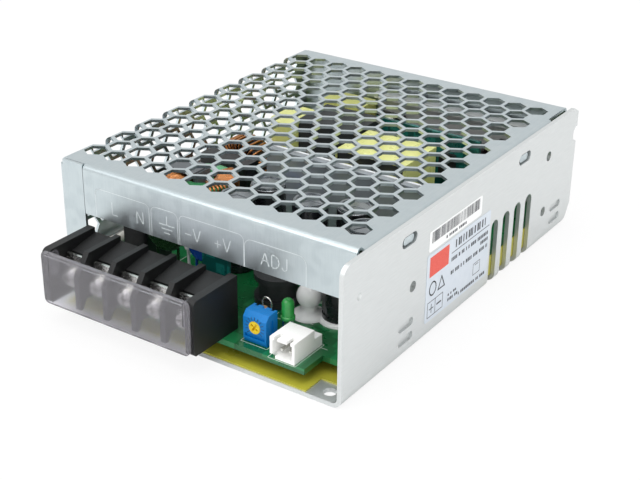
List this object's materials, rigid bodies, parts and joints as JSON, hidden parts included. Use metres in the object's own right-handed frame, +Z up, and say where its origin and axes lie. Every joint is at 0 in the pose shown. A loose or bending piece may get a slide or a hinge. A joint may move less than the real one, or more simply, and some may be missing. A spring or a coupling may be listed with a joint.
{
  "type": "enclosed switching power supply",
  "caption": "Folded aluminium chassis with a hexagon mesh cover, a barrier terminal block with a clear flip cover, and the populated circuit board inside.",
  "frame": {"origin": "centre of the underside of the chassis floor", "axes": "+X across the case towards the labelled wall, +Y from the terminal end to the rear, +Z up"},
  "size_m": [0.0981, 0.1393, 0.038],
  "materials": {
    "chassis_plate": "fine satin",
    "galvanised_sheet": "smooth zinc",
    "plated_screws": "bright nickel",
    "insulating_film": "translucent film",
    "green_board": "solder resist",
    "black_moulding": "fine spark texture",
    "tinned_metal": "bright tin",
    "clear_moulding": "clear, polished",
    "blue_moulding": "semi-gloss",
    "brass_rotor": "satin",
    "green_lamp": "diffused epoxy",
    "ivory_moulding": "semi-matt",
    "resistor_ceramic": "lacquered",
    "ferrite": "ground ferrite",
    "yellow_tape": "polyester tape",
    "green_ring": "epoxy coat",
    "copper_wire": "enamelled copper",
    "grey_holder": "moulded",
    "black_film_case": "moulded",
    "yellow_film_case": "moulded",
    "black_sleeve": "shrink sleeve",
    "blue_lacquer": "dipped lacquer",
    "green_lacquer": "dipped lacquer",
    "teal_board": "solder resist",
    "chip_resin": "moulded resin",
    "clear_film": "polyester sheet",
    "bare_aluminium": "rolled",
    "fuse_ceramic": "ceramic tube",
    "silicone_glue": "cured silicone",
    "foil_label": "laminated foil",
    "paper_label": "coated paper"
  },
  "bodies": {
    "supply": {"chassis": "chassis_plate", "mesh_cover": "galvanised_sheet", "cover_screws": "plated_screws", "insulation_film": "insulating_film", "main_board": "green_board", "board_posts": "plated_screws", "board_screws": "plated_screws", "terminal_housing": "black_moulding", "terminal_tabs": "tinned_metal", "trimmer_body": "blue_moulding", "status_led": "green_lamp", "led_leads": "tinned_metal", "signal_header": "ivory_moulding", "header_pins": "tinned_metal", "standing_resistor": "resistor_ceramic", "resistor_lead": "tinned_metal", "transformer_core": "ferrite", "transformer_coil": "yellow_tape", "transformer_wrap": "yellow_tape", "transformer_bobbin": "black_moulding", "boost_core": "ferrite", "boost_coil": "yellow_tape", "boost_bobbin": "black_moulding", "line_choke_core": "green_ring", "line_choke_coils": "copper_wire", "line_choke_holder": "grey_holder", "filter_choke_core": "ferrite", "filter_choke_coil": "copper_wire", "box_capacitors": "black_film_case", "pulse_capacitor": "yellow_film_case", "bulk_capacitor": "black_sleeve", "output_capacitors": "black_sleeve", "safety_capacitors": "blue_lacquer", "varistor": "green_lacquer", "output_choke": "ferrite", "control_board": "teal_board", "control_chips": "chip_resin", "sense_board": "teal_board", "barrier_sheet": "clear_film", "heat_sink": "bare_aluminium", "power_transistors": "chip_resin", "sink_screws": "plated_screws", "line_fuse": "fuse_ceramic", "glue_dabs": "silicone_glue", "rating_label": "foil_label", "serial_label": "paper_label"},
    "terminal_cover": {"terminal_cover": "clear_moulding"},
    "trimmer_rotor": {"trimmer_rotor": "brass_rotor"},
    "clamp_plate_1": {"clamp_plate_1": "tinned_metal"},
    "clamp_plate_2": {"clamp_plate_2": "tinned_metal"},
    "clamp_plate_3": {"clamp_plate_3": "tinned_metal"},
    "clamp_plate_4": {"clamp_plate_4": "tinned_metal"},
    "clamp_plate_5": {"clamp_plate_5": "tinned_metal"},
    "terminal_screw_1": {"terminal_screw_1": "plated_screws"},
    "terminal_screw_2": {"terminal_screw_2": "plated_screws"},
    "terminal_screw_3": {"terminal_screw_3": "plated_screws"},
    "terminal_screw_4": {"terminal_screw_4": "plated_screws"},
    "terminal_screw_5": {"terminal_screw_5": "plated_screws"}
  },
  "joints": [
    {"name": "terminal_cover_hinge", "type": "hinge", "parent": "supply", "child": "terminal_cover", "pos_m": [-0.0134, -0.0716, 0.0194], "axis": [-1, 0, 0], "range_deg": [0, 90]},
    {"name": "trimmer_turn", "type": "hinge", "parent": "supply", "child": "trimmer_rotor", "pos_m": [0.02, -0.0597, 0.0107], "axis": [0, 1, 0], "range_deg": [-120, 120]},
    {"name": "clamp_lift_1", "type": "slide", "parent": "supply", "child": "clamp_plate_1", "axis": [0, -1, 0], "range_m": [0, 0.0012]},
    {"name": "screw_turn_1", "type": "hinge", "parent": "clamp_plate_1", "child": "terminal_screw_1", "pos_m": [-0.0326, -0.0683, 0.0129], "axis": [0, -1, 0], "range_deg": [0, 720]},
    {"name": "clamp_lift_2", "type": "slide", "parent": "supply", "child": "clamp_plate_2", "axis": [0, -1, 0], "range_m": [0, 0.0012]},
    {"name": "screw_turn_2", "type": "hinge", "parent": "clamp_plate_2", "child": "terminal_screw_2", "pos_m": [-0.023, -0.0683, 0.0129], "axis": [0, -1, 0], "range_deg": [0, 720]},
    {"name": "clamp_lift_3", "type": "slide", "parent": "supply", "child": "clamp_plate_3", "axis": [0, -1, 0], "range_m": [0, 0.0012]},
    {"name": "screw_turn_3", "type": "hinge", "parent": "clamp_plate_3", "child": "terminal_screw_3", "pos_m": [-0.0134, -0.0683, 0.0129], "axis": [0, -1, 0], "range_deg": [0, 720]},
    {"name": "clamp_lift_4", "type": "slide", "parent": "supply", "child": "clamp_plate_4", "axis": [0, -1, 0], "range_m": [0, 0.0012]},
    {"name": "screw_turn_4", "type": "hinge", "parent": "clamp_plate_4", "child": "terminal_screw_4", "pos_m": [-0.0038, -0.0683, 0.0129], "axis": [0, -1, 0], "range_deg": [0, 720]},
    {"name": "clamp_lift_5", "type": "slide", "parent": "supply", "child": "clamp_plate_5", "axis": [0, -1, 0], "range_m": [0, 0.0012]},
    {"name": "screw_turn_5", "type": "hinge", "parent": "clamp_plate_5", "child": "terminal_screw_5", "pos_m": [0.0058, -0.0683, 0.0129], "axis": [0, -1, 0], "range_deg": [0, 720]}
  ]
}
